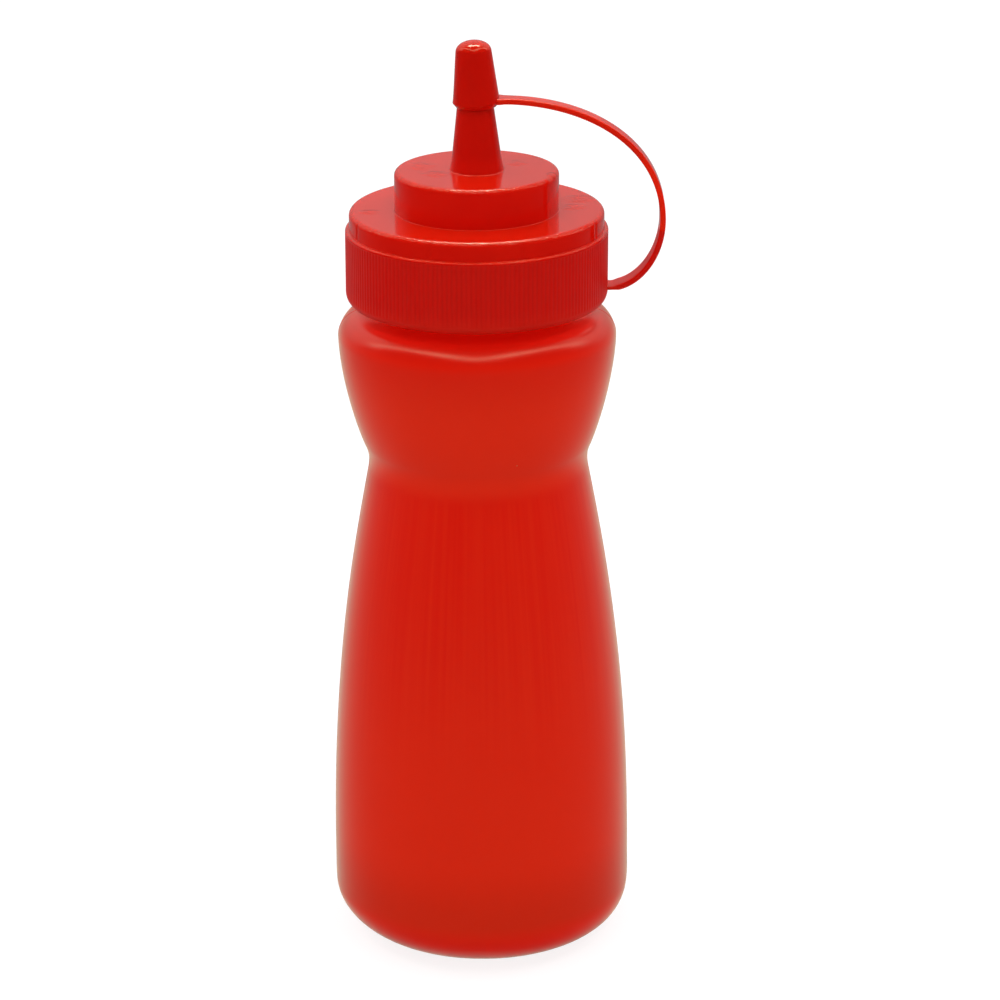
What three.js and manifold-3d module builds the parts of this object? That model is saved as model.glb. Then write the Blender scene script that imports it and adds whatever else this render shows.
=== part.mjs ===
// Condiment squeeze bottle: waisted body, ribbed screw lid with a nozzle, and a tip cap on a moulded strap.
// Millimetres, +Z up. The bottle stands on Z = 0 with its axis on Z, and the strap's loop is on +X.
import * as THREE from 'three';
import { mergeVertices } from 'three/addons/utils/BufferGeometryUtils.js';
import Module from 'manifold-3d';

const wasm = await Module();
wasm.setup();

// Gap kept between pieces that touch
const gap = 0.3;

// Body: one blow moulding, wide below and pinched at a waist under the shoulder
const bodyRadius = 32.7;
const baseFlatRadius = 17.2;
const baseCornerHeight = 11.0;
const bodyCurveStart = 15.0;
const waistRadius = 23.1;
const waistHeight = 111.1;
const waistRound = 3.5;
const bulgeRadius = 29.65;
const bulgeHeight = 137.7;
const shoulderRise = 5.8;
const neckRadius = 23.8;
const neckTop = 160.0;

// How far each curve's handles reach from its ends, as [radius, height]
const bodyFootHandle = [0, 46];
const bodyWaistHandle = [4.6, -24];
const bulgeWaistHandle = [2.9, 4.9];
const bulgeTopHandle = [0, -7.7];

// Lid: ribbed band, plain tier, small disc and nozzle, one above the other
const bandRadius = 27.75;
const bandBottom = 145.85;
const bandTop = 161.4;
const bandCornerWidth = 1.6;
const bandCornerHeight = 3.7;
const edgeRound = 0.5;
const tierRadius = 26.85;
const tierTop = 165.4;
const discRadius = 17.0;
const discTop = 173.9;
const nozzleBaseRadius = 5.35;
const nozzleFlare = 0.25;
const nozzleFlareTopRadius = 4.9;
const nozzleFlareHeight = 4.0;
const nozzleRimRadius = 3.85;
const nozzleTipRadius = 2.4;
const nozzleTop = 196.0;

// Ribs: upright, all round the band between its plain lips
const ribBottom = bandBottom + bandCornerHeight;
const ribTop = bandTop - edgeRound;
const ribCount = 174;
const ribDepth = 0.3;
const ribInset = 0.05;
const ribWall = 1.2;

// Tip cap: a blunt cone over the nozzle's tip, leaning a little
const capRimRadius = 4.85;
const capShoulderRadius = 3.7;
const capLength = 14.1;
const capRimHeight = 187.4;
const capRimOffset = 0.1;
const capChamfer = 1.05;
const capDomeRise = 2.3;
const capWall = 0.7;
const capCrown = 2.1;
const capLean = 2.7;
const domeFootHandle = [-0.15, 1.55];
const domeTopHandle = [2.0, 0];

// Strap: a flat moulded band, wider towards the lid, looping from the cap's rim to the foot of the lid
const strapThickness = 1.1;
const strapWidthAtCap = 3.0;
const strapWidthAtLid = 5.0;
const strapStart = 5.2;
const strapTop = 188.9;
const strapReach = 39.4;
const strapReachHeight = 163.2;
const strapRootHeight = 148.35;
const strapCapHandle = [19.3, 0];
const strapAboveHandle = [0, 15.5];
const strapBelowHandle = [0, -7.8];
const strapRootHandle = [5.7, 0];

// Facets: sides of the turned pieces, and steps along the strap
const roundSides = 56;
const capSides = 24;
const strapSteps = 26;

const point = (r, z) => new THREE.Vector2(r, z);

// Points along a stretch of an ellipse, for a rounded corner
function corner(centreR, centreZ, width, height, from, to, steps) {
  return new THREE.EllipseCurve(centreR, centreZ, width, height, from, to).getPoints(steps);
}

// A smooth curve between two points, each with the reach of its handle
function smoothCurve(start, startHandle, end, endHandle) {
  const reach = (from, [r, z]) => point(from.x + r, from.y + z);
  return new THREE.CubicBezierCurve(start, reach(start, startHandle), reach(end, endHandle), end);
}

// Turn an outline of radii and heights about Z
function turned(outline, sides) {
  const geometry = new THREE.LatheGeometry(outline, sides);
  return geometry.rotateX(Math.PI / 2);
}

function toSolid(geometry) {
  const bare = geometry.clone();
  bare.deleteAttribute('normal');
  bare.deleteAttribute('uv');
  const merged = mergeVertices(bare, 1e-4);
  return new wasm.Manifold(new wasm.Mesh({
    numProp: 3,
    vertProperties: new Float32Array(merged.attributes.position.array),
    triVerts: new Uint32Array(merged.index.array),
  }));
}

function toGeometry(solid) {
  const mesh = solid.getMesh();
  const geometry = new THREE.BufferGeometry();
  geometry.setAttribute('position', new THREE.BufferAttribute(mesh.vertProperties, 3));
  geometry.setIndex(new THREE.BufferAttribute(mesh.triVerts, 1));
  geometry.computeVertexNormals();
  return geometry;
}

// Body outline from the base centre up to the top of the neck
function bodyOutline() {
  const waist = point(waistRadius, waistHeight);
  const lower = smoothCurve(point(bodyRadius, bodyCurveStart), bodyFootHandle, waist, bodyWaistHandle)
    .getPoints(11).filter((p) => p.y < waistHeight - waistRound);
  const upper = smoothCurve(waist, bulgeWaistHandle, point(bulgeRadius, bulgeHeight), bulgeTopHandle)
    .getPoints(7).filter((p) => p.y > waistHeight + waistRound);
  const crease = new THREE.QuadraticBezierCurve(lower.at(-1), waist, upper[0]).getPoints(3).slice(1, -1);
  const shoulder = corner(
    neckRadius, bulgeHeight, bulgeRadius - neckRadius, shoulderRise, 0, Math.PI / 2, 4,
  ).slice(1);
  return [
    point(0, 0),
    ...corner(
      baseFlatRadius, baseCornerHeight, bodyRadius - baseFlatRadius, baseCornerHeight,
      -Math.PI / 2, 0, 6,
    ),
    ...lower,
    ...crease,
    ...upper,
    ...shoulder,
    point(neckRadius, neckTop),
    point(0, neckTop),
  ];
}

// Lid outline from the roof of its bore, down, round the skirt and up to the nozzle's tip
function lidOutline() {
  const boreRadius = neckRadius + gap;
  const boreRoof = neckTop + gap;
  const ribCore = bandRadius - 2 * ribDepth;
  const edge = (radius, top) => corner(
    radius - edgeRound, top - edgeRound, edgeRound, edgeRound, 0, Math.PI / 2, 2,
  );
  return [
    point(0, boreRoof),
    point(boreRadius, boreRoof),
    point(boreRadius, bandBottom),
    ...corner(
      bandRadius - bandCornerWidth, bandBottom + bandCornerHeight, bandCornerWidth, bandCornerHeight,
      -Math.PI / 2, 0, 5,
    ),
    point(ribCore, ribBottom),
    point(ribCore, ribTop),
    point(bandRadius, ribTop),
    ...edge(bandRadius, bandTop).slice(1),
    point(tierRadius, bandTop),
    ...edge(tierRadius, tierTop),
    point(discRadius, tierTop),
    ...edge(discRadius, discTop),
    point(nozzleBaseRadius + nozzleFlare, discTop),
    point(nozzleFlareTopRadius, discTop + nozzleFlareHeight),
    point(nozzleRimRadius, capRimHeight),
    point(nozzleTipRadius, nozzleTop),
    point(0, nozzleTop),
  ];
}

// The ring of fine upright ribs round the band, its ends let into the plain lips above and below
function ribRing() {
  const crestRadius = bandRadius - ribInset;
  const crests = new THREE.Shape();
  for (let i = 0; i < 2 * ribCount; i += 1) {
    const angle = (Math.PI * i) / ribCount;
    const radius = i % 2 ? crestRadius - ribDepth : crestRadius;
    const place = i ? 'lineTo' : 'moveTo';
    crests[place](radius * Math.cos(angle), radius * Math.sin(angle));
  }
  crests.closePath();
  const inside = new THREE.Path();
  inside.absarc(0, 0, crestRadius - ribWall, 0, 2 * Math.PI);
  crests.holes.push(inside);
  const overlap = edgeRound / 4;
  const depth = ribTop - ribBottom + 2 * overlap;
  const ring = new THREE.ExtrudeGeometry(crests, { depth, bevelEnabled: false });
  return ring.translate(0, 0, ribBottom - overlap);
}

function lidGeometry() {
  const plain = toSolid(turned(lidOutline(), roundSides));
  return toGeometry(plain.add(toSolid(ribRing())));
}

// Cap outline in its own frame: rim at height 0, hollow from below, domed on top
function capOutline() {
  const shoulderHeight = capLength - capDomeRise;
  const hollowTop = capLength - capCrown;
  const taper = (capRimRadius - capShoulderRadius) / (shoulderHeight - capChamfer);
  const hollowRimRadius = capRimRadius + taper * capChamfer - capWall;
  return [
    point(0, hollowTop),
    point(hollowRimRadius - taper * hollowTop, hollowTop),
    point(hollowRimRadius, 0),
    point(capRimRadius - capChamfer / 2, 0),
    point(capRimRadius, capChamfer),
    ...smoothCurve(
      point(capShoulderRadius, shoulderHeight), domeFootHandle, point(0, capLength), domeTopHandle,
    ).getPoints(7),
  ];
}

// The strap's middle line in the XZ plane: level out of the cap, round its reach and level into the lid
function strapLine() {
  const reach = point(strapReach, strapReachHeight);
  const root = point(bandRadius + gap, strapRootHeight);
  const line = new THREE.CurvePath();
  line.add(smoothCurve(point(strapStart, strapTop), strapCapHandle, reach, strapAboveHandle));
  line.add(smoothCurve(reach, strapBelowHandle, root, strapRootHandle));
  return line;
}

// The strap is its side view drawn out along Y, each step then narrowed or widened to its own width
function strapGeometry() {
  const line = strapLine();
  const side = (sign) => Array.from({ length: strapSteps + 1 }, (_, i) => {
    const middle = line.getPointAt(i / strapSteps);
    const along = line.getTangentAt(i / strapSteps);
    return middle.add(point(-along.y, along.x).multiplyScalar((sign * strapThickness) / 2));
  });
  const outline = [...side(1), ...side(-1).reverse()];
  const geometry = new THREE.ExtrudeGeometry(new THREE.Shape(outline), { depth: 1, bevelEnabled: false });
  geometry.translate(0, 0, -0.5).rotateX(Math.PI / 2);
  const places = geometry.attributes.position;
  for (let i = 0; i < places.count; i += 1) {
    const angle = Math.atan2(places.getZ(i) - strapReachHeight, places.getX(i) - strapStart);
    const towardsCap = THREE.MathUtils.clamp(angle / (Math.PI / 2), 0, 1);
    const width = THREE.MathUtils.lerp(strapWidthAtLid, strapWidthAtCap, towardsCap);
    places.setY(i, places.getY(i) * width);
  }
  return geometry;
}

const bottlePlastic = new THREE.MeshStandardMaterial({ color: 0xc41408, roughness: 0.38, metalness: 0 });
const lidPlastic = new THREE.MeshStandardMaterial({ color: 0xb80c06, roughness: 0.22, metalness: 0 });

function named(name, geometry, material) {
  const mesh = new THREE.Mesh(geometry, material);
  mesh.name = name;
  return mesh;
}

const tipCap = named('tip_cap', turned(capOutline(), capSides), lidPlastic);
tipCap.position.set(capRimOffset, 0, capRimHeight);
tipCap.rotation.y = -THREE.MathUtils.degToRad(capLean);

const squeezeBottle = new THREE.Group();
squeezeBottle.add(
  named('bottle', turned(bodyOutline(), roundSides), bottlePlastic),
  named('lid', lidGeometry(), lidPlastic),
  tipCap,
  named('strap', strapGeometry(), lidPlastic),
);

export default squeezeBottle;
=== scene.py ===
# Looks of the condiment squeeze bottle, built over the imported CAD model.
# Lengths are in millimetres, turned into metres as each mesh is made. Angles are in degrees.
import math

import bpy
from mathutils import Matrix, Vector, noise


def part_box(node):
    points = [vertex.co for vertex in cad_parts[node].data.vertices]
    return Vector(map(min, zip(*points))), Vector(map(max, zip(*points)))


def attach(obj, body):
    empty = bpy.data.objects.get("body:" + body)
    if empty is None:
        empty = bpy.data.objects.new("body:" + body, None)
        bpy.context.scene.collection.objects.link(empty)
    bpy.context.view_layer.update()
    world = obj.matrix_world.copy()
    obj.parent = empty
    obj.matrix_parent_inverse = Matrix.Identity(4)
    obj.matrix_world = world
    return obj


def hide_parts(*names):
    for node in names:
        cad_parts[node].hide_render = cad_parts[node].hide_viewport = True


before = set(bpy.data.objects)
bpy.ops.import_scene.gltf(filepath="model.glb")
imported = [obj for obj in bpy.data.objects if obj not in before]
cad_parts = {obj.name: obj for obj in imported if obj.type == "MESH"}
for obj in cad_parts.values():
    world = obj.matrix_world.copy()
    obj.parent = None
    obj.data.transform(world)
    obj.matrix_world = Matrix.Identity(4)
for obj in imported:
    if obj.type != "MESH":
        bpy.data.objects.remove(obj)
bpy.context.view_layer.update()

MM = 0.001


def box_of(node):
    """A CAD node's lowest and highest corner, in millimetres."""
    low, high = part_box(node)
    return low / MM, high / MM


bottle_high = box_of("bottle")[1]
lid_low, lid_high = box_of("lid")

# Body, from the foot up
BODY_RADIUS = bottle_high.x
NECK_TOP = bottle_high.z
BASE_RISE = 2.2
FOOT_RADIUS = 17.2
FOOT_HEIGHT = 11.0
CURVE_START = 15.0
WAIST_RADIUS = 23.1
WAIST_HEIGHT = 111.1
WAIST_ROUND = 2.7
BULGE_RADIUS = 29.65
BULGE_HEIGHT = 137.7
SHOULDER_RISE = 5.8
SHOULDER_TURN = 64
NECK_RADIUS = 23.8
NECK_FOOT = 147.0
BASE_CENTRE_HANDLE = (9, 0)
BASE_EDGE_HANDLE = (-4, 0)
BODY_FOOT_HANDLE = (0, 46)
BODY_WAIST_HANDLE = (4.6, -24)
BULGE_WAIST_HANDLE = (2.9, 4.9)
BULGE_TOP_HANDLE = (0, -7.7)
SHOULDER_TOP_HANDLE = (-1.6, 0.78)
NECK_FOOT_HANDLE = (0, -2.3)
FOOT_LIFT_LEFT = 0.15
FOOT_DROP_RIGHT = 0.8

# Faint waves, from the heights where they start and are full, and the mould seam on both sides. The seam
# fades out around the ring that the bottle stands on
WAVE_HEIGHT = 0.07
WAVE_LENGTH = 34.0
WAVE_START = 2
WAVE_FULL = 20
SEAM_HEIGHT = 0.09
SEAM_WIDTH = 0.22
SEAM_OFFSETS = (-0.6, -0.4, -0.2, 0.2, 0.4, 0.6)
SEAM_END_HEIGHT = 0.1
SEAM_END_SLOPE = 0.1
SEAM_END_FADE = (0.15, 0.6)

# Lid: ribbed band, plain tier, disc and nozzle, over a bore that clears the bottle's neck
BAND_RADIUS = lid_high.x + 0.1
BAND_BOTTOM = lid_low.z
BAND_TOP = 161.4
BAND_CORNER_WIDTH = 1.4
BAND_CORNER_HEIGHT = 2.1
BORE_GAP = 0.3
BORE_EDGE = 1
BORE_MIDDLE = 150
BORE_ROOF_RADIUS = 20
BORE_RIM_ROUND = 0.35
LIP_ROUND = 0.5
LEDGE_ROUND = 0.05
EDGE_ROUND = 1.1
EDGE_REACH = 1.6 * EDGE_ROUND
INNER_ROUND = 0.12
TIER_RADIUS = 27.0
TIER_TOP = 165.4
DISC_RADIUS = 17.38
DISC_TOP = 173.9
NOZZLE_BASE_RADIUS = 5.67
NOZZLE_FILLET = 0.3
NOZZLE_FILLET_EDGE = NOZZLE_BASE_RADIUS + 0.4
NOZZLE_FLARE_RADIUS = 5.05
NOZZLE_FLARE_HEIGHT = 4.0
NOZZLE_FLARE_HANDLE = (-0.2, 0.9)
NOZZLE_RIM_RADIUS = 3.88
NOZZLE_TIP_RADIUS = 2.4
NOZZLE_TOP = lid_high.z

# Radii on the lid's tops where rings with more sides meet rings with fewer
SKIRT_END = TIER_RADIUS - 2.2
DISC_START = TIER_RADIUS - 3
DISC_END = NOZZLE_BASE_RADIUS + 2
NOZZLE_START = NOZZLE_BASE_RADIUS + 1

# How far the lid leans towards the strap, and the nozzle back again, for each millimetre of height
LID_LEAN = 0.0068
NOZZLE_SHIFT = 0.27
NOZZLE_LEAN = -0.016

# How far outwards a wall's surface faces at least, to tell it from the tops
WALL_FACING = 0.2

# Ribs round the band, and the shallow upright marks round the tier
RIB_COUNT = 174
RIB_DEPTH = 0.085
RIB_BOTTOM = 147.35
RIB_TOP = BAND_TOP - LIP_ROUND
RIB_FADE = 0.5
MARK_TURNS = (21, 67.3, 113, 159)
MARK_DEPTH = 0.16
MARK_WIDTH = 0.45
MARK_HEIGHTS = (BAND_TOP, BAND_TOP + 0.5, TIER_TOP - 0.9, TIER_TOP - 0.3)

# Tip cap
CAP_RIM_RADIUS = 5.0
CAP_SHOULDER_RADIUS = 3.78
CAP_LENGTH = 14.1
CAP_RIM_HEIGHT = 187.4
CAP_RIM_OFFSET = 0.32
CAP_CHAMFER = 1.05
CAP_CHAMFER_ROUND = 0.16
CAP_FOOT_FLARE = 0.3
CAP_FOOT_HEIGHT = 0.1
CAP_LIP_INSET = 0.02
CAP_FLARE_HANDLE = (-0.3, 1.5)
CAP_WALL_REACH = 4
CAP_DOME_RISE = 2.3
CAP_MOUTH_RADIUS = 4.15
CAP_CROWN = 2.1
CAP_LEAN = 2.7
DOME_FOOT_HANDLE = (-0.15, 1.55)
DOME_TOP_HANDLE = (1.85, 0)

# Strap, from the cap's rim round its reach to the foot of the lid
STRAP_THICKNESS = 1.22
STRAP_WIDTH_AT_CAP = 3.7
STRAP_WIDTH_AT_LID = 5.4
STRAP_START = 5.2
STRAP_TOP = 188.8
STRAP_REACH = 39.4
STRAP_REACH_HEIGHT = 163.2
STRAP_ROOT_RADIUS = BAND_RADIUS + BORE_GAP
STRAP_ROOT_HEIGHT = 148.35
STRAP_CAP_HANDLE = (19.3, 0)
STRAP_ABOVE_HANDLE = (0, 15.5)
STRAP_BELOW_HANDLE = (0, -8.1)
STRAP_ROOT_HANDLE = (6.0, 0)
STRAP_EMBED = 0.8
STRAP_EDGE_ROUND = 0.3
STRAP_ROUND_SHARE = 0.45
STRAP_ROOT_START = 0.6
STRAP_ROOT_THINNING = 0.38
STRAP_ROOT_LENGTH = 1.6
STRAP_CAP_FLARE = 1.3
STRAP_FLARE_LENGTH = 0.7

# Sides of the turned pieces
BODY_SIDES = 192
RIB_SIDES = 6 * RIB_COUNT
DISC_SIDES = 2 * RIB_COUNT
NOZZLE_SIDES = RIB_COUNT
CAP_SIDES = 96

# Camera of the photograph
SENSOR_WIDTH = 36
CLIP_END = 1000000
PHOTO_PIXELS = 1000
FOCAL_PIXELS = 3563
CAMERA_PLACE = Vector((4.648, -727.45, 365.614))
CAMERA_TILT = 20.07
CAMERA_ROLL = -0.389


# Outlines: lists of (radius, height) from the axis below, round the outside, to the axis above


def arc(centre, width, height, start, end, steps):
    """Points along a stretch of an ellipse, its angles from outwards towards up."""
    angles = [math.radians(start + (end - start) * i / steps) for i in range(steps + 1)]
    return [(centre[0] + width * math.cos(a), centre[1] + height * math.sin(a)) for a in angles]


def curve(start, start_handle, end, end_handle, steps):
    """Points along a smooth curve, each handle measured from its own end."""
    a = Vector(start)
    d = Vector(end)
    b = a + Vector(start_handle)
    c = d + Vector(end_handle)
    points = []
    for i in range(steps + 1):
        t = i / steps
        s = 1 - t
        points.append(tuple(a * s**3 + b * 3 * s * s * t + c * 3 * s * t * t + d * t**3))
    return points


def line(start, end, steps):
    """Evenly spaced points along a straight stretch."""
    return [tuple(Vector(start).lerp(Vector(end), i / steps)) for i in range(steps + 1)]


def joined(*stretches):
    """One outline from stretches that end where the next begins."""
    outline = []
    for stretch in stretches:
        same = outline and (Vector(outline[-1]) - Vector(stretch[0])).length < 1e-6
        outline += stretch[1:] if same else stretch
    return outline


# Meshes


def bridge(first, first_count, second, second_count):
    """Faces between two rings, given where each starts and how many points it has. One point is a pole."""
    if first_count == 1:
        return [(first, second + (i + 1) % second_count, second + i) for i in range(second_count)]
    if second_count == 1:
        return [(first + i, first + (i + 1) % first_count, second) for i in range(first_count)]
    few = min(first_count, second_count)
    below = first_count // few
    above = second_count // few
    faces = []
    for i in range(few):
        under = [first + (i * below + k) % first_count for k in range(below + 1)]
        over = [second + (i * above + k) % second_count for k in range(above + 1)]
        faces.append(under + over[::-1])
    return faces


def mesh_object(name, points, faces):
    """A smooth mesh from points in millimetres."""
    mesh = bpy.data.meshes.new(name)
    mesh.from_pydata([p * MM for p in points], [], faces)
    mesh.validate()
    mesh.shade_smooth()
    made = bpy.data.objects.new(name, mesh)
    bpy.context.scene.collection.objects.link(made)
    return made


def skin(name, rings):
    """A mesh through rings of points. A ring may have a whole number of times its neighbour's points."""
    points = [p for ring in rings for p in ring]
    faces = []
    start = 0
    for ring, following in zip(rings, rings[1:]):
        faces += bridge(start, len(ring), start + len(ring), len(following))
        start += len(ring)
    return mesh_object(name, points, faces)


def turned_rings(outline, angles, place):
    """Rings of an outline turned about Z. Place moves each point, told the way the surface faces there."""
    rings = []
    for i, (radius, height) in enumerate(outline):
        before = Vector(outline[max(i - 1, 0)])
        after = Vector(outline[min(i + 1, len(outline) - 1)])
        along = (after - before).normalized()
        facing = Vector((along.y, -along.x))
        if radius < 1e-6:
            rings.append([Vector((0, 0, height))])
            continue
        rings.append([place(radius, height, angle, facing) for angle in angles])
    return rings


def even_angles(sides):
    return [math.tau * i / sides for i in range(sides)]


def round_point(radius, height, angle):
    return Vector((radius * math.cos(angle), radius * math.sin(angle), height))


def plain_place(radius, height, angle, facing):
    return round_point(radius, height, angle)


def fade(value, low, high):
    """0 below low, 1 above high and smooth between."""
    t = min(max((value - low) / (high - low), 0), 1)
    return t * t * (3 - 2 * t)


def plateau(value, start, full, last, end):
    """1 from full to last, 0 before start and after end, and smooth between."""
    return fade(value, start, full) * (1 - fade(value, last, end))


def finished(piece, node, material):
    """Gives a piece its material and ties it to the frame."""
    piece.data.materials.append(material)
    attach(piece, "root")
    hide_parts(node)
    return piece


# Body


def body_outline():
    """From the base's centre, round the foot, up past the waist and the shoulder to the neck's top. A curve
    through the waist whose handles reach two thirds of the way to its corner is a parabola."""
    foot_corner = (FOOT_RADIUS, FOOT_HEIGHT)
    waist = Vector((WAIST_RADIUS, WAIST_HEIGHT))
    lower = curve((BODY_RADIUS, CURVE_START), BODY_FOOT_HANDLE, waist, BODY_WAIST_HANDLE, 70)
    upper = curve(waist, BULGE_WAIST_HANDLE, (BULGE_RADIUS, BULGE_HEIGHT), BULGE_TOP_HANDLE, 36)
    lower = [p for p in lower if p[1] < WAIST_HEIGHT - WAIST_ROUND]
    upper = [p for p in upper if p[1] > WAIST_HEIGHT + WAIST_ROUND]
    towards_waist = Vector(lower[-1]).lerp(waist, 2 / 3) - Vector(lower[-1])
    from_waist = Vector(upper[0]).lerp(waist, 2 / 3) - Vector(upper[0])
    shoulder_width = BULGE_RADIUS - NECK_RADIUS
    shoulder = arc((NECK_RADIUS, BULGE_HEIGHT), shoulder_width, SHOULDER_RISE, 0, SHOULDER_TURN, 18)
    return joined(
        curve((0, BASE_RISE), BASE_CENTRE_HANDLE, (FOOT_RADIUS, 0), BASE_EDGE_HANDLE, 18),
        arc(foot_corner, BODY_RADIUS - FOOT_RADIUS, FOOT_HEIGHT, -90, 0, 26),
        line((BODY_RADIUS, FOOT_HEIGHT), (BODY_RADIUS, CURVE_START), 3),
        lower,
        curve(lower[-1], towards_waist, upper[0], from_waist, 12),
        upper,
        shoulder,
        curve(shoulder[-1], SHOULDER_TOP_HANDLE, (NECK_RADIUS, NECK_FOOT), NECK_FOOT_HANDLE, 14),
        line((NECK_RADIUS, NECK_FOOT), (NECK_RADIUS, NECK_TOP), 6),
        line((NECK_RADIUS, NECK_TOP), (0, NECK_TOP), 2),
    )


def body_angles():
    """Even angles, with finer steps beside the mould seam on both sides."""
    near = [offset / BODY_RADIUS for offset in SEAM_OFFSETS]
    beside_seams = [(seam + step) % math.tau for seam in (0, math.pi) for step in near]
    return sorted(even_angles(BODY_SIDES) + beside_seams)


def body_place(radius, height, angle, facing):
    """The body's point, with its uneven foot, faint waves and mould seam."""
    point = round_point(radius, height, angle)
    side = math.cos(angle)
    wave = noise.noise(point / WAVE_LENGTH) * WAVE_HEIGHT
    wave *= plateau(height, WAVE_START, WAVE_FULL, BULGE_HEIGHT, NECK_TOP)
    seam = SEAM_HEIGHT * math.exp(-((point.y / SEAM_WIDTH) ** 2))
    from_ring = abs(height - SEAM_END_HEIGHT) + SEAM_END_SLOPE * max(radius - FOOT_RADIUS, 0)
    seam *= fade(from_ring, *SEAM_END_FADE)
    out = wave + seam
    point += out * Vector((facing.x * side, facing.x * math.sin(angle), facing.y))
    if height < FOOT_HEIGHT and radius > FOOT_RADIUS:
        shift = FOOT_LIFT_LEFT if side < 0 else FOOT_DROP_RIGHT
        point.z -= shift * side * math.sin(math.pi * height / FOOT_HEIGHT)
    return point


def make_body(material):
    rings = turned_rings(body_outline(), body_angles(), body_place)
    return finished(skin("bottle_body", rings), "bottle", material)


# Lid


def outer_edge(radius, height):
    """The rounded edge where a wall meets the top it carries, with a point on each side of it."""
    centre = (radius - EDGE_ROUND, height - EDGE_ROUND)
    return joined(
        [(radius, height - EDGE_REACH)],
        arc(centre, EDGE_ROUND, EDGE_ROUND, 0, 90, 8),
        [(radius - EDGE_REACH, height)],
    )


def inner_edge(radius, height):
    """The small hollow where a top meets the wall that stands on it, with a point on each side of it."""
    centre = (radius + INNER_ROUND, height + INNER_ROUND)
    hollow = arc(centre, INNER_ROUND, INNER_ROUND, -90, -180, 4)
    return joined([(radius + 2 * INNER_ROUND, height)], hollow, [(radius, height + 2 * INNER_ROUND)])


def skirt_outline():
    """From the bore's roof down its wall, round the band's rim, up the ribs and over the tier's edge."""
    bore = NECK_RADIUS + BORE_GAP
    roof = NECK_TOP + BORE_GAP
    rim = BORE_RIM_ROUND
    corner = (BAND_RADIUS - BAND_CORNER_WIDTH, BAND_BOTTOM + BAND_CORNER_HEIGHT)
    ledge = LEDGE_ROUND
    return joined(
        [(bore - BORE_EDGE, roof), (bore, roof), (bore, roof - BORE_EDGE)],
        [(bore, BORE_MIDDLE), (bore, BAND_BOTTOM + 2 * rim)],
        arc((bore + rim, BAND_BOTTOM + rim), rim, rim, 180, 270, 4),
        arc(corner, BAND_CORNER_WIDTH, BAND_CORNER_HEIGHT, -90, 0, 16),
        line((BAND_RADIUS, corner[1]), (BAND_RADIUS, RIB_TOP - RIB_FADE), 4),
        line((BAND_RADIUS, RIB_TOP - RIB_FADE), (BAND_RADIUS, RIB_TOP), 5),
        arc((BAND_RADIUS - LIP_ROUND, RIB_TOP), LIP_ROUND, LIP_ROUND, 0, 90, 7),
        [(TIER_RADIUS + ledge, BAND_TOP)],
        arc((TIER_RADIUS + ledge, BAND_TOP + ledge), ledge, ledge, 270, 180, 3),
        line((TIER_RADIUS, BAND_TOP + 2 * ledge), (TIER_RADIUS, TIER_TOP - EDGE_REACH), 5),
        outer_edge(TIER_RADIUS, TIER_TOP),
        [(SKIRT_END, TIER_TOP)],
    )


def disc_outline():
    """The tier's top, the disc's wall and the disc's top."""
    return joined(
        line((DISC_START, TIER_TOP), (DISC_RADIUS + 2 * INNER_ROUND, TIER_TOP), 5),
        inner_edge(DISC_RADIUS, TIER_TOP),
        line((DISC_RADIUS, TIER_TOP + 2 * INNER_ROUND), (DISC_RADIUS, DISC_TOP - EDGE_REACH), 6),
        outer_edge(DISC_RADIUS, DISC_TOP),
        line((DISC_RADIUS - EDGE_REACH, DISC_TOP), (DISC_END, DISC_TOP), 6),
    )


def nozzle_outline():
    """The flared foot of the nozzle, its taper and its closed tip, which the cap hides."""
    foot = (NOZZLE_BASE_RADIUS + NOZZLE_FILLET, DISC_TOP)
    flare_foot = (NOZZLE_BASE_RADIUS, DISC_TOP + NOZZLE_FILLET)
    flare_top = (NOZZLE_FLARE_RADIUS, DISC_TOP + NOZZLE_FLARE_HEIGHT)
    slope = (NOZZLE_FLARE_RADIUS - NOZZLE_RIM_RADIUS) / (CAP_RIM_HEIGHT - flare_top[1])
    reach = NOZZLE_FLARE_HEIGHT / 2
    return joined(
        [(NOZZLE_START, DISC_TOP)],
        line((NOZZLE_FILLET_EDGE, DISC_TOP), foot, 1),
        curve(foot, (-NOZZLE_FILLET / 2, 0), flare_foot, (0, -NOZZLE_FILLET / 2), 5),
        curve(flare_foot, NOZZLE_FLARE_HANDLE, flare_top, (slope * reach, -reach), 10),
        line(flare_top, (NOZZLE_RIM_RADIUS, CAP_RIM_HEIGHT), 8),
        line((NOZZLE_RIM_RADIUS, CAP_RIM_HEIGHT), (NOZZLE_TIP_RADIUS, NOZZLE_TOP), 6),
        [(0, NOZZLE_TOP)],
    )


def rib_valley(angle):
    """How deep into a rib's valley an angle is, from 0 on a crest to 1 between two ribs."""
    return 1 - abs(math.cos(RIB_COUNT * angle / 2))


def mark_valley(angle):
    """How deep into one of the tier's upright marks an angle is."""
    turn = abs(math.degrees(math.remainder(angle + math.pi / 2, math.tau)))
    offset = math.radians(min(abs(turn - mark) for mark in MARK_TURNS))
    return math.exp(-((offset * TIER_RADIUS / MARK_WIDTH) ** 2))


def lid_place(radius, height, angle, facing):
    """A point of the lid, which leans a little."""
    return round_point(radius, height, angle) + Vector((LID_LEAN * (height - BAND_BOTTOM), 0, 0))


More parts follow.
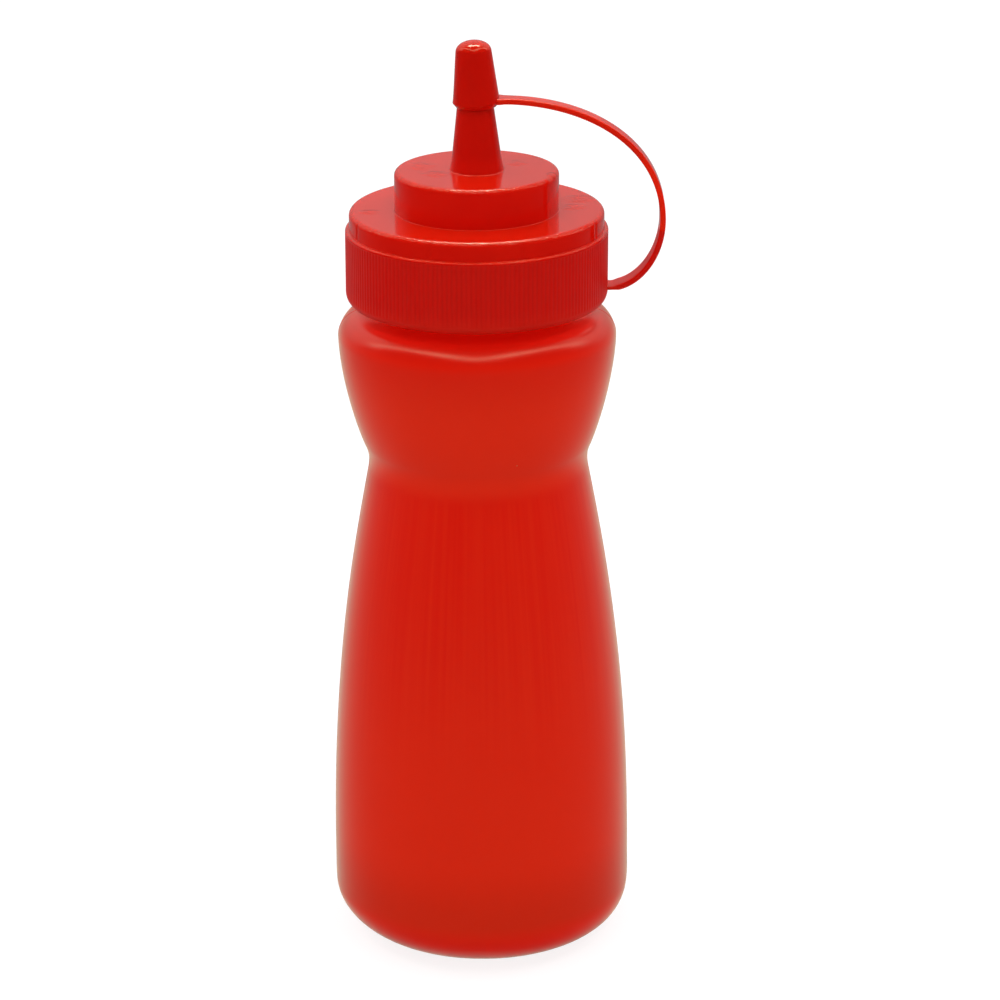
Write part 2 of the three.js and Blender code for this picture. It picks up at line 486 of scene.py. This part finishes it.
def skirt_place(radius, height, angle, facing):
    """The skirt's point, drawn in at the ribs' valleys and at the tier's marks."""
    depth = 0
    if facing.x > WALL_FACING and RIB_BOTTOM < height < RIB_TOP:
        strength = plateau(height, RIB_BOTTOM, RIB_BOTTOM + RIB_FADE, RIB_TOP - RIB_FADE, RIB_TOP)
        depth = RIB_DEPTH * strength * rib_valley(angle)
    elif facing.x > WALL_FACING and height > BAND_TOP:
        depth = MARK_DEPTH * plateau(height, *MARK_HEIGHTS) * mark_valley(angle)
    return lid_place(radius - depth, height, angle, facing)


def nozzle_place(radius, height, angle, facing):
    """A point of the nozzle, which stands off the axis towards the strap and leans back."""
    shift = NOZZLE_SHIFT + NOZZLE_LEAN * (height - DISC_TOP)
    return round_point(radius, height, angle) + Vector((shift, 0, 0))


def make_lid(material):
    roof = NECK_TOP + BORE_GAP
    rings = turned_rings([(0, roof), (BORE_ROOF_RADIUS, roof)], even_angles(NOZZLE_SIDES), lid_place)
    rings += turned_rings(skirt_outline(), even_angles(RIB_SIDES), skirt_place)
    rings += turned_rings(disc_outline(), even_angles(DISC_SIDES), lid_place)
    rings += turned_rings(nozzle_outline(), even_angles(NOZZLE_SIDES), nozzle_place)
    return finished(skin("screw_lid", rings), "lid", material)


# Tip cap


def cap_outline():
    """From the hollow's roof down to the rim, round it and up to the dome, with the rim at height 0."""
    shoulder = (CAP_SHOULDER_RADIUS, CAP_LENGTH - CAP_DOME_RISE)
    taper = (CAP_RIM_RADIUS - CAP_SHOULDER_RADIUS) / (shoulder[1] - CAP_CHAMFER)
    hollow_top = CAP_LENGTH - CAP_CROWN
    roof_radius = CAP_MOUTH_RADIUS - taper * hollow_top
    mouth = (CAP_MOUTH_RADIUS, CAP_FOOT_HEIGHT)
    chamfer_foot = (CAP_RIM_RADIUS - CAP_CHAMFER + CAP_FOOT_FLARE, CAP_FOOT_HEIGHT)
    turn = CAP_CHAMFER_ROUND
    below_turn = (CAP_RIM_RADIUS - turn, CAP_CHAMFER - turn)
    above_turn = (CAP_RIM_RADIUS - taper * turn, CAP_CHAMFER + turn)
    return joined(
        [(0, hollow_top), (roof_radius, hollow_top)],
        line((roof_radius, hollow_top), (CAP_MOUTH_RADIUS - CAP_LIP_INSET, 2 * CAP_FOOT_HEIGHT), 6),
        curve(mouth, (0, -CAP_FOOT_HEIGHT), chamfer_foot, (-turn, -turn / 2), 3),
        line(chamfer_foot, below_turn, 3),
        curve(below_turn, (turn, turn), above_turn, (taper * turn, -turn), 4),
        curve(above_turn, CAP_FLARE_HANDLE, shoulder, (CAP_WALL_REACH * taper, -CAP_WALL_REACH), 16),
        curve(shoulder, DOME_FOOT_HANDLE, (0, CAP_LENGTH), DOME_TOP_HANDLE, 18),
    )


def make_cap(material):
    lean = Matrix.Rotation(math.radians(-CAP_LEAN), 4, "Y")
    set_on = Matrix.Translation((CAP_RIM_OFFSET, 0, CAP_RIM_HEIGHT)) @ lean
    rings = turned_rings(cap_outline(), even_angles(CAP_SIDES), plain_place)
    rings = [[set_on @ point for point in ring] for ring in rings]
    return finished(skin("tip_cap_body", rings), "tip_cap", material)


# Strap


def strap_line():
    """The strap's middle line as (x, z) points, its ends let into the cap's rim and the band."""
    reach = (STRAP_REACH, STRAP_REACH_HEIGHT)
    start = (STRAP_START, STRAP_TOP)
    root = (STRAP_ROOT_RADIUS, STRAP_ROOT_HEIGHT)
    return joined(
        line((STRAP_START - STRAP_EMBED, STRAP_TOP), start, 4),
        curve(start, STRAP_CAP_HANDLE, reach, STRAP_ABOVE_HANDLE, 70),
        curve(reach, STRAP_BELOW_HANDLE, root, STRAP_ROOT_HANDLE, 50),
        line(root, (STRAP_ROOT_RADIUS - STRAP_EMBED, STRAP_ROOT_HEIGHT), 3),
    )


def rounded_section(width, thickness):
    """A rounded rectangle as (across, out) offsets from the strap's middle line, with three points across
    each wide face."""
    round_by = min(STRAP_EDGE_ROUND, thickness * STRAP_ROUND_SHARE)
    section = []
    for turn, (side_across, side_out) in enumerate([(1, 1), (-1, 1), (-1, -1), (1, -1)]):
        centre = (side_across * (width / 2 - round_by), side_out * (thickness / 2 - round_by))
        section += arc(centre, round_by, round_by, 90 * turn, 90 * (turn + 1), 3)
        if turn % 2 == 0:
            out = side_out * thickness / 2
            section += [(share * side_across * width / 2, out) for share in (0.5, 0, -0.5)]
    return section


def make_strap(material):
    middle = [Vector(p) for p in strap_line()]
    length = [0]
    for before, after in zip(middle, middle[1:]):
        length.append(length[-1] + (after - before).length)
    rings = []
    for i, point in enumerate(middle):
        along = (middle[min(i + 1, len(middle) - 1)] - middle[max(i - 1, 0)]).normalized()
        out = Vector((-along.y, along.x))
        turn = math.degrees(math.atan2(point.y - STRAP_REACH_HEIGHT, point.x - STRAP_START))
        towards_cap = min(max(turn / 90, 0), 1)
        from_cap = length[i] - STRAP_EMBED
        from_lid = length[-1] - length[i] - STRAP_EMBED
        width = STRAP_WIDTH_AT_LID + (STRAP_WIDTH_AT_CAP - STRAP_WIDTH_AT_LID) * towards_cap
        width += STRAP_CAP_FLARE * math.exp(-max(from_cap, 0) / STRAP_FLARE_LENGTH)
        past_root = fade(from_lid, STRAP_ROOT_START, STRAP_ROOT_START + STRAP_ROOT_LENGTH)
        thickness = STRAP_THICKNESS * (1 - STRAP_ROOT_THINNING * (1 - past_root))
        ring = []
        for across, away in rounded_section(width, thickness):
            ring.append(Vector((point.x + out.x * away, across, point.y + out.y * away)))
        rings.append(ring)
    ends = [[sum(ring, Vector()) / len(ring)] for ring in (rings[0], rings[-1])]
    strap = skin("strap_band", [ends[0], *rings, ends[1]])
    return finished(strap, "strap", material)


# Materials


def add_node(tree, kind, settings=None, inputs=None):
    """A new node. An input given a socket is linked to it, and any other is set as it is."""
    made = tree.nodes.new("ShaderNode" + kind)
    for name, value in (settings or {}).items():
        setattr(made, name, value)
    for name, value in (inputs or {}).items():
        if isinstance(value, bpy.types.NodeSocket):
            tree.links.new(value, made.inputs[name])
        else:
            made.inputs[name].default_value = value
    return made


def maths(tree, operation, first, second=0.0, third=0.0):
    inputs = {0: first, 1: second, 2: third}
    return add_node(tree, "Math", {"operation": operation}, inputs).outputs[0]


def product(tree, first, *others):
    for other in others:
        first = maths(tree, "MULTIPLY", first, other)
    return first


def vector_maths(tree, operation, first, second=(0, 0, 0)):
    return add_node(tree, "VectorMath", {"operation": operation}, {0: first, 1: second}).outputs[0]


def noise_of(tree, vector, scale, detail=2):
    inputs = {"Vector": vector, "Scale": scale, "Detail": detail}
    return add_node(tree, "TexNoise", None, inputs).outputs["Fac"]


def streaks_of(tree, place, grain, height_share, detail=2):
    """Noise drawn out upright: it goes by the way out from the axis, and height counts only a little."""
    outward = vector_maths(tree, "NORMALIZE", vector_maths(tree, "MULTIPLY", place, (1, 1, 0)))
    outward = vector_maths(tree, "MULTIPLY", outward, (grain, grain, grain))
    upright = vector_maths(tree, "MULTIPLY", place, (0, 0, height_share))
    return noise_of(tree, vector_maths(tree, "ADD", outward, upright), 1, detail)


def ranged(tree, value, low, high, to_low=0.0, to_high=1.0, kind="SMOOTHSTEP"):
    """A value taken from one range to another, and held at its ends."""
    settings = {"interpolation_type": kind, "clamp": True}
    inputs = {0: value, 1: low, 2: high, 3: to_low, 4: to_high}
    return add_node(tree, "MapRange", settings, inputs).outputs[0]


def plateau_of(tree, value, start, full, last, end):
    """1 from full to last, 0 before start and after end, and smooth between."""
    return product(tree, ranged(tree, value, start, full), ranged(tree, value, end, last))


# A Mix node's sockets for colours, which share their names with its other sockets
MIX_FACTOR = 0
MIX_FIRST = 6
MIX_SECOND = 7
MIX_RESULT = 2


def mixed_colour(tree, factor, first, second):
    """The first colour, which may be a socket, mixed towards the second."""
    first = (*first, 1) if isinstance(first, tuple) else first
    inputs = {MIX_FACTOR: factor, MIX_FIRST: first, MIX_SECOND: (*second, 1)}
    return add_node(tree, "Mix", {"data_type": "RGBA"}, inputs).outputs[MIX_RESULT]


# Each plastic's index of refraction, and how gloss is warmed
BODY_IOR = 1.45
LID_IOR = 1.43
GLOSS_TINT = (1, 0.97, 0.6, 1)

# The bottle's satin haze
HAZE_WEIGHT = 0.75
HAZE_ROUGHNESS = 0.3
HAZE_TINT = (1, 0.97, 0.68, 1)

# The bottle's colours by height. It grows paler from the first height of BELOW_WAIST to the second, and again
# above the waist, where the four heights are those of a plateau
BODY_DEEP = (0.76, 0.007, 0.0014)
BODY_PALE = (0.81, 0.0175, 0.003)
BODY_ABOVE_WAIST = (0.905, 0.02, 0.0035)
BELOW_WAIST = (100, 25)
ABOVE_WAIST = (107, 113, 122, 141)
PALE_SHARE = 0.8

# Painted shade and painted light on the foot and the shoulder, as (height where one starts, height where it
# is full, colour)
BODY_PAINTED_SHADE_AND_LIGHT = (
    # painted shade: darker towards the foot
    (28, 14, (0.7, 0.0165, 0.003)),
    # painted light: paler on the lowest part of the foot, which faces down and gets less light
    (13, 6, (0.95, 0.006, 0.001)),
    # painted shade: darker on the shoulder under the lid's band
    (139.0, 141.0, (0.69, 0.006, 0.001)),
    # painted light: paler, redder neck under the lid's band, standing in for light through the plastic
    (142.0, 143.8, (1.0, 0.006, 0.001)),
)

# Slow drift of the bottle's colour, fine grain, upright streaks between four heights, and pale specks
DRIFT_PER_MM = 0.035
DRIFT_SHARE = 0.4
GRAIN_PER_MM = 0.6
GRAIN_DEPTH = 0.004
STREAK_GRAIN = (26, 0.012)
STREAKED = (40, 80, 106, 109)
STREAK_SHARE = 1.3
STREAK_ROUGHNESS = 0.1
STREAK_DEPTH = 0.006
SPECK_SPACING = 14
SPECK_EDGE = (0.018, 0.01)
SPECK_COLOUR = (0.75, 0.12, 0.06)

# Roughness. The denoiser outlines a surface that crosses about 0.27, so the bottle's and the lid's stay under
# that and the ribbed band's stays over it
BODY_ROUGHNESS = 0.215
BODY_ROUGHNESS_SPREAD = 0.04
BODY_ROUGHNESS_PER_MM = 0.12
LID_ROUGHNESS = 0.06
LID_ROUGHNESS_SPREAD = 0.03
LID_ROUGHNESS_PER_MM = 0.4
SMUDGE_ROUGHNESS = 0.17
BAND_ROUGHNESS = 0.3

# Colours of the lid and the strap: where the drift is low, where it is high and where the surface faces up.
# On the lid the up-facing colour is paler, a painted light from above; on the strap it is its low colour
LID_COLOURS = ((0.665, 0.005, 0.0016), (0.69, 0.0065, 0.002), (0.71, 0.0125, 0.003))
STRAP_COLOURS = ((0.81, 0.016, 0.004), (0.85, 0.019, 0.005), (0.81, 0.016, 0.004))
# Painted shade: the ribbed band's deeper colour, and darker still in the ribs' valleys
PAINTED_RIB_SHADE_COLOUR = (0.66, 0.001, 0.0003)
PAINTED_VALLEY_SHADE_COLOUR = (0.59, 0.0008, 0.0002)
LID_DRIFT_PER_MM = 0.08
LID_DRIFT_ENDS = (0.3, 0.7)
# How far up a surface faces for the lid's painted top light
PAINTED_TOP_LIGHT_FACING = (0.1, 0.9)

# Heights where the lid's looks change: from the disc to the darker nozzle, into the band, and up its corner,
# over which the band's painted shade fades in
NOZZLE_HEIGHTS = (DISC_TOP + 0.5, DISC_TOP + 5)
NOZZLE_SHADE = 0.87
BAND_HEIGHTS = (BAND_TOP - 0.2, BAND_TOP - 0.8)
PAINTED_RIB_SHADE_HEIGHTS = (BAND_BOTTOM, BAND_BOTTOM + 5)

# How light spreads under the lid's surface, as a share and in millimetres for each colour
DEPTH_WEIGHT = 0.3
DEPTH_RADIUS = (1.5, 0.3, 0.2)

# The lid's waves, and the flow marks on its plain walls
WAVES_PER_MM = 0.11
WAVE_DEPTH = 0.035
FLOW_GRAIN = (14, 0.05)
FLOW_DEPTH = 0.005

# Rubbed patches on the lid's tops, as (place, radius). Each fades between two shares of its radius
SMUDGES = (
    ((-11.5, 3.2, DISC_TOP), 2.6),
    ((-8.4, -3.6, DISC_TOP), 2.2),
    ((8.8, 4.8, DISC_TOP), 1.9),
    ((16.0, -4.4, DISC_TOP), 1.1),
    ((21.9, 7.2, TIER_TOP), 2.6),
    ((20.6, 1.1, TIER_TOP), 2.3),
    ((-22.4, -2.5, TIER_TOP), 1.8),
)
SMUDGE_START = 1.5
SMUDGE_FULL = 0.2
SMUDGE_RAGS_PER_MM = 0.35
SMUDGE_RAGGEDNESS = 3.2
SCUFFS_PER_MM = 0.5
SCUFF_DEPTH = 0.35

# Fine nicks along the rims of the tier and the disc, which break their highlights into sparks. The four
# shares tell how far up a rim's surface faces
RIM_FACING = (0.3, 0.6, 0.94, 0.99)
NICKS_PER_MM = 1.4
NICK_DEPTH = 0.15


def new_material(name, ior):
    """A material, its tree, its shader and the surface place in millimetres."""
    made = bpy.data.materials.new(name)
    made.use_nodes = True
    tree = made.node_tree
    shader = tree.nodes["Principled BSDF"]
    shader.inputs["IOR"].default_value = ior
    shader.inputs["Specular Tint"].default_value = GLOSS_TINT
    place = add_node(tree, "TexCoord").outputs["Object"]
    place = vector_maths(tree, "MULTIPLY", place, (1 / MM, 1 / MM, 1 / MM))
    return made, tree, shader, place


def link_bump(tree, shader, layers):
    """Bumps the shader's normal with layers of (height socket, depth in millimetres)."""
    normal = None
    for height, depth in layers:
        inputs = {"Height": height, "Distance": depth * MM, "Strength": 1.0}
        if normal:
            inputs["Normal"] = normal
        normal = add_node(tree, "Bump", None, inputs).outputs["Normal"]
    tree.links.new(normal, shader.inputs["Normal"])


def body_colour(tree, place, height, streaks):
    """Paler below and above the waist, painted shade and painted light at the foot and the shoulder, and a
    few pale specks.
    """
    above_waist = plateau_of(tree, height, *ABOVE_WAIST)
    drift = product(tree, noise_of(tree, place, DRIFT_PER_MM), DRIFT_SHARE)
    paler = maths(tree, "ADD", ranged(tree, height, *BELOW_WAIST), above_waist)
    paler = maths(tree, "MULTIPLY_ADD", paler, PALE_SHARE, drift)
    paler = maths(tree, "MULTIPLY_ADD", streaks, STREAK_SHARE, paler)
    colour = mixed_colour(tree, paler, BODY_DEEP, BODY_PALE)
    colour = mixed_colour(tree, above_waist, colour, BODY_ABOVE_WAIST)
    for start, full, painted_colour in BODY_PAINTED_SHADE_AND_LIGHT:
        colour = mixed_colour(tree, ranged(tree, height, start, full), colour, painted_colour)
    specks = add_node(tree, "TexVoronoi", None, {"Vector": place, "Scale": 1 / SPECK_SPACING})
    speck = ranged(tree, specks.outputs["Distance"], *SPECK_EDGE)
    return mixed_colour(tree, speck, colour, SPECK_COLOUR)


def body_material():
    """Satin blow-moulded plastic with a haze, fine grain and upright streaks below the waist."""
    made, tree, shader, place = new_material("Bottle plastic", BODY_IOR)
    shader.inputs["Sheen Weight"].default_value = HAZE_WEIGHT
    shader.inputs["Sheen Roughness"].default_value = HAZE_ROUGHNESS
    shader.inputs["Sheen Tint"].default_value = HAZE_TINT
    height = add_node(tree, "SeparateXYZ", None, {0: place}).outputs["Z"]
    streaks = maths(tree, "SUBTRACT", streaks_of(tree, place, *STREAK_GRAIN), 0.5)
    streaks = product(tree, streaks, plateau_of(tree, height, *STREAKED))
    tree.links.new(body_colour(tree, place, height, streaks), shader.inputs["Base Color"])
    roughness = noise_of(tree, place, BODY_ROUGHNESS_PER_MM)
    roughness = maths(tree, "MULTIPLY_ADD", roughness, BODY_ROUGHNESS_SPREAD, BODY_ROUGHNESS)
    roughness = maths(tree, "MULTIPLY_ADD", streaks, STREAK_ROUGHNESS, roughness)
    tree.links.new(roughness, shader.inputs["Roughness"])
    grain = noise_of(tree, place, GRAIN_PER_MM, detail=1)
    link_bump(tree, shader, [(grain, GRAIN_DEPTH), (streaks, STREAK_DEPTH)])
    return made


def smudges_of(tree, place):
    """How smudged each place is, from soft patches with ragged edges."""
    inputs = {"Vector": place, "Scale": SMUDGE_RAGS_PER_MM, "Detail": 2.0}
    ragged = add_node(tree, "TexNoise", None, inputs).outputs["Color"]
    ragged = vector_maths(tree, "SUBTRACT", ragged, (0.5, 0.5, 0.5))
    ragged = vector_maths(tree, "MULTIPLY", ragged, (SMUDGE_RAGGEDNESS,) * 3)
    moved = vector_maths(tree, "ADD", place, ragged)
    total = 0.0
    for centre, radius in SMUDGES:
        reach = add_node(tree, "VectorMath", {"operation": "DISTANCE"}, {0: moved, 1: centre})
        patch = ranged(tree, reach.outputs["Value"], SMUDGE_START * radius, SMUDGE_FULL * radius)
        total = maths(tree, "ADD", patch, total)
    return maths(tree, "MINIMUM", total, 1.0)


def rib_valleys(tree, parts):
    """The ribs' valleys where make_lid cuts them, where shade is painted: 0 on a crest, 1 between two ribs.
    """
    angle = maths(tree, "ARCTAN2", parts["Y"], parts["X"])
    crest = maths(tree, "ABSOLUTE", maths(tree, "COSINE", product(tree, angle, RIB_COUNT / 2)))
    return maths(tree, "SUBTRACT", 1.0, crest)


def lid_material(name, low, high, painted_top_light, nick_depth):
    """Glossy injection-moulded plastic, with painted shade on the ribbed band and its valleys, painted light
    on the tops that face up, and darker from the nozzle up. It has rubbed patches on the tops, faint flow
    marks on the walls and, unless nick_depth is 0, nicks along the rims."""
    made, tree, shader, place = new_material(name, LID_IOR)
    shader.inputs["Subsurface Weight"].default_value = DEPTH_WEIGHT
    shader.inputs["Subsurface Radius"].default_value = DEPTH_RADIUS
    shader.inputs["Subsurface Scale"].default_value = MM
    parts = add_node(tree, "SeparateXYZ", None, {0: place}).outputs
    facing = add_node(tree, "NewGeometry").outputs["Normal"]
    facing_up = add_node(tree, "SeparateXYZ", None, {0: facing}).outputs["Z"]
    nozzle = ranged(tree, parts["Z"], *NOZZLE_HEIGHTS)
    band = ranged(tree, parts["Z"], *BAND_HEIGHTS)
    plain = maths(tree, "SUBTRACT", 1.0, band)
    ribbed = product(tree, band, ranged(tree, parts["Z"], *PAINTED_RIB_SHADE_HEIGHTS))
    smudge = smudges_of(tree, place)
    drift = ranged(tree, noise_of(tree, place, LID_DRIFT_PER_MM), *LID_DRIFT_ENDS)
    colour = mixed_colour(tree, drift, low, high)
    colour = mixed_colour(tree, nozzle, colour, tuple(NOZZLE_SHADE * part for part in low))
    # Painted light: surfaces that face up are paler, as if lit more from above
    colour = mixed_colour(tree, ranged(tree, facing_up, *PAINTED_TOP_LIGHT_FACING), colour, painted_top_light)
    # Painted shade: the ribbed band deeper, and darker still in the ribs' valleys
    colour = mixed_colour(tree, ribbed, colour, PAINTED_RIB_SHADE_COLOUR)
    colour = mixed_colour(tree, product(tree, rib_valleys(tree, parts), ribbed), colour, PAINTED_VALLEY_SHADE_COLOUR)
    tree.links.new(colour, shader.inputs["Base Color"])
    roughness = noise_of(tree, place, LID_ROUGHNESS_PER_MM, detail=3)
    roughness = maths(tree, "MULTIPLY_ADD", roughness, LID_ROUGHNESS_SPREAD, LID_ROUGHNESS)
    roughness = maths(tree, "MULTIPLY_ADD", smudge, SMUDGE_ROUGHNESS, roughness)
    roughness = maths(tree, "MULTIPLY_ADD", band, BAND_ROUGHNESS, roughness)
    tree.links.new(roughness, shader.inputs["Roughness"])
    waves = noise_of(tree, place, WAVES_PER_MM, detail=1)
    flow = product(tree, streaks_of(tree, place, *FLOW_GRAIN, detail=1), plain)
    scuffs = product(tree, noise_of(tree, place, SCUFFS_PER_MM), smudge)
    layers = [(waves, WAVE_DEPTH), (flow, FLOW_DEPTH), (scuffs, SCUFF_DEPTH)]
    if nick_depth:
        rim = product(tree, plateau_of(tree, facing_up, *RIM_FACING), maths(tree, "SUBTRACT", 1.0, nozzle))
        layers.append((product(tree, noise_of(tree, place, NICKS_PER_MM, detail=0), rim), nick_depth))
    link_bump(tree, shader, layers)
    return made


# Camera, floor, sky and lights


def make_camera():
    tilt = math.radians(CAMERA_TILT)
    roll = math.radians(CAMERA_ROLL)
    ahead = Vector((0, math.cos(tilt), -math.sin(tilt)))
    level = Vector((1, 0, 0))
    up = Vector((0, math.sin(tilt), math.cos(tilt)))
    right = level * math.cos(roll) + up * math.sin(roll)
    top = up * math.cos(roll) - level * math.sin(roll)
    data = bpy.data.cameras.new("Camera")
    data.sensor_width = SENSOR_WIDTH
    data.lens = SENSOR_WIDTH * FOCAL_PIXELS / PHOTO_PIXELS
    data.clip_end = CLIP_END * MM
    camera = bpy.data.objects.new("Camera", data)
    turn = Matrix((right, top, -ahead)).transposed().to_4x4()
    camera.matrix_world = Matrix.Translation(CAMERA_PLACE * MM) @ turn
    bpy.context.scene.collection.objects.link(camera)
    bpy.context.scene.camera = camera


def grey(share):
    return (share, share, share, 1)


def seen_apart(tree, seen, unseen):
    """One shader for the camera and another for all other light."""
    from_camera = add_node(tree, "LightPath").outputs["Is Camera Ray"]
    return add_node(tree, "MixShader", None, {0: from_camera, 1: unseen, 2: seen}).outputs[0]


# The floor: how it glows and catches light to the camera, and how pale it is to all other light
FLOOR_HALF = 30000
FLOOR_GLOW = 0.86
FLOOR_CATCH = 0.2
FLOOR_UNSEEN = 0.35


def make_floor():
    """A wide floor, white to the camera but for a faint shadow, and a dim grey to all other light. It casts
    no shadow, and gloss doesn't show it."""
    corners = [(-1, -1), (1, -1), (1, 1), (-1, 1)]
    corners = [Vector((x * FLOOR_HALF, y * FLOOR_HALF, 0)) for x, y in corners]
    floor = mesh_object("floor", corners, [(0, 1, 2, 3)])
    material = bpy.data.materials.new("Floor")
    material.use_nodes = True
    tree = material.node_tree
    tree.nodes.clear()
    catch = add_node(tree, "BsdfDiffuse", None, {"Color": grey(FLOOR_CATCH)}).outputs[0]
    glow = add_node(tree, "Emission", None, {"Color": grey(1), "Strength": FLOOR_GLOW}).outputs[0]
    seen = add_node(tree, "AddShader", None, {0: catch, 1: glow}).outputs[0]
    unseen = add_node(tree, "BsdfDiffuse", None, {"Color": grey(FLOOR_UNSEEN)}).outputs[0]
    tree.links.new(seen_apart(tree, seen, unseen), add_node(tree, "OutputMaterial").inputs["Surface"])
    floor.data.materials.append(material)
    floor.visible_glossy = False
    floor.visible_shadow = False


# The studio tent. A place on it is told by its turn about the side-to-side axis, which is 0 at the front
# horizon, 90 overhead and 180 behind, and by how far to the side it is, which is 1 at the end of that axis
SKY_WHITE = 1.02
TENT_DIM = 0.05
WALL_START = -0.6
WALL_POWER = 3
WALL_GLOW = 0.26
ROOF_TURNS = (97, 122, 190)
ROOF_GLOW = 1.0
ROOF_LOW = 0.2
ROOF_HORIZON = (-0.02, 0.12)
ROOF_SIDES = (0.98, 0.8)
STRIP_TURN = 53
STRIP_HALF_WIDTH = 14
STRIP_GLOW = 3.9
STRIP_RISE = 80
STRIP_BEND = 1.4
STRIP_LOBE = 0.35
STRIP_LOBE_WIDTH = 0.25
STRIP_LOBE_GLOWS = (0.85, 1.35)
STRIP_SIDES = (0.93, 0.8)
BOX_TURNS = (99, 102, 114, 117)
BOX_SIDES = (0.34, 0.29)
BOX_GLOW = 16


def wall_glow(tree, way):
    """Dim in front, and brighter towards the back."""
    level = vector_maths(tree, "NORMALIZE", vector_maths(tree, "MULTIPLY", way, (1, 1, 0)))
    behind = add_node(tree, "SeparateXYZ", None, {0: level}).outputs["Y"]
    behind = ranged(tree, behind, WALL_START, 1, kind="LINEAR")
    return maths(tree, "MULTIPLY_ADD", maths(tree, "POWER", behind, WALL_POWER), WALL_GLOW, TENT_DIM)


def roof_glow(tree, turn, side, up):
    """Brightest a third of the way from overhead to the horizon behind, and dimmer down to it."""
    start, full, end = ROOF_TURNS
    slope = ranged(tree, turn, full, end, ROOF_GLOW, ROOF_LOW, "LINEAR")
    above = ranged(tree, up, *ROOF_HORIZON)
    return product(tree, ranged(tree, turn, start, full), slope, above, ranged(tree, side, *ROOF_SIDES))


def strip_glow(tree, turn, side):
    """A strip of light above the camera. It arches up to both sides and is brightest on the way there."""
    middle = maths(tree, "MULTIPLY_ADD", maths(tree, "POWER", side, STRIP_BEND), STRIP_RISE, STRIP_TURN)
    away = maths(tree, "ABSOLUTE", maths(tree, "SUBTRACT", turn, middle))
    strip = ranged(tree, away, STRIP_HALF_WIDTH, 0, 0, STRIP_GLOW)
    from_lobe = maths(tree, "ABSOLUTE", maths(tree, "SUBTRACT", side, STRIP_LOBE))
    lobe = ranged(tree, from_lobe, STRIP_LOBE_WIDTH, 0, *STRIP_LOBE_GLOWS)
    return product(tree, strip, lobe, ranged(tree, side, *STRIP_SIDES))


def box_glow(tree, turn, side):
    """A bright soft box overhead, which only gloss shows."""
    glossy = add_node(tree, "LightPath").outputs["Is Glossy Ray"]
    return product(tree, plateau_of(tree, turn, *BOX_TURNS), ranged(tree, side, *BOX_SIDES), glossy, BOX_GLOW)


def make_sky():
    """White to the camera, and the studio tent to all other light."""
    world = bpy.data.worlds.new("Sky")
    bpy.context.scene.world = world
    world.use_nodes = True
    tree = world.node_tree
    tree.nodes.clear()
    way = add_node(tree, "TexCoord").outputs["Generated"]
    parts = add_node(tree, "SeparateXYZ", None, {0: way}).outputs
    side = maths(tree, "ABSOLUTE", parts["X"])
    turn = maths(tree, "ARCTAN2", parts["Z"], product(tree, parts["Y"], -1))
    turn = maths(tree, "DEGREES", turn)
    tent = maths(tree, "MAXIMUM", wall_glow(tree, way), roof_glow(tree, turn, side, parts["Z"]))
    tent = maths(tree, "ADD", tent, strip_glow(tree, turn, side))
    tent = maths(tree, "ADD", tent, box_glow(tree, turn, side))
    seen = add_node(tree, "Background", None, {"Color": grey(1), "Strength": SKY_WHITE}).outputs[0]
    unseen = add_node(tree, "Background", None, {"Color": grey(1), "Strength": tent}).outputs[0]
    tree.links.new(seen_apart(tree, seen, unseen), add_node(tree, "OutputWorld").inputs["Surface"])


# Soft light that only matt surfaces show: (azimuth from the camera's side, elevation, strength)
SOFT_SPREAD = 120
SOFT_LIGHTS = (
    (0, 10, 1.0),
    (115, 10, 1.05),
    (-115, 10, 1.05),
    (0, 90, 0.4),
)


def make_soft_lights():
    for azimuth, elevation, strength in SOFT_LIGHTS:
        data = bpy.data.lights.new("soft_light", "SUN")
        data.energy = strength
        data.angle = math.radians(SOFT_SPREAD)
        data.cycles.use_multiple_importance_sampling = False
        light = bpy.data.objects.new("soft_light", data)
        turned = Matrix.Rotation(math.radians(azimuth), 4, "Z")
        raised = Matrix.Rotation(math.radians(90 - elevation), 4, "X")
        light.matrix_world = turned @ raised
        light.visible_glossy = False
        bpy.context.scene.collection.objects.link(light)


make_camera()
make_body(body_material())
lid_plastic = lid_material("Lid plastic", *LID_COLOURS, NICK_DEPTH)
make_lid(lid_plastic)
make_cap(lid_plastic)
make_strap(lid_material("Strap plastic", *STRAP_COLOURS, 0))
make_floor()
make_sky()
make_soft_lights()
bpy.context.scene.view_settings.view_transform = "Standard"
